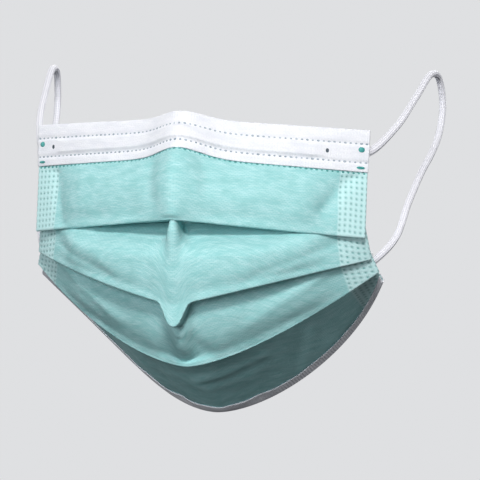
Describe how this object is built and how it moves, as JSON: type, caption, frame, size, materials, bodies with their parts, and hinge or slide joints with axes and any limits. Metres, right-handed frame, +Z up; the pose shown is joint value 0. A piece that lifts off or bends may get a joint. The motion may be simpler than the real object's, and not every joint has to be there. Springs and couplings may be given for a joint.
{
  "type": "surgical face mask",
  "caption": "Pleated three-ply face mask with a white nose band, a thin white hem and elastic ear loops, in its worn shape.",
  "frame": {"origin": "the bridge of the nose, where the middle of the mask's top edge sits on the face", "axes": "+X to the wearer's left, +Y from the mask back into the face, +Z up"},
  "size_m": [0.158, 0.1246, 0.134],
  "materials": {
    "outer_nonwoven": "matt mint green spunbond nonwoven, fine point bonds",
    "white_nonwoven": "matt white spunbond nonwoven",
    "ear_elastic": "matt white knitted round elastic"
  },
  "bodies": {
    "root": {"pleated_panel": "outer_nonwoven", "top_band": "white_nonwoven", "bottom_hem": "white_nonwoven", "ear_loop_left": "ear_elastic", "ear_loop_right": "ear_elastic"}
  },
  "joints": []
}
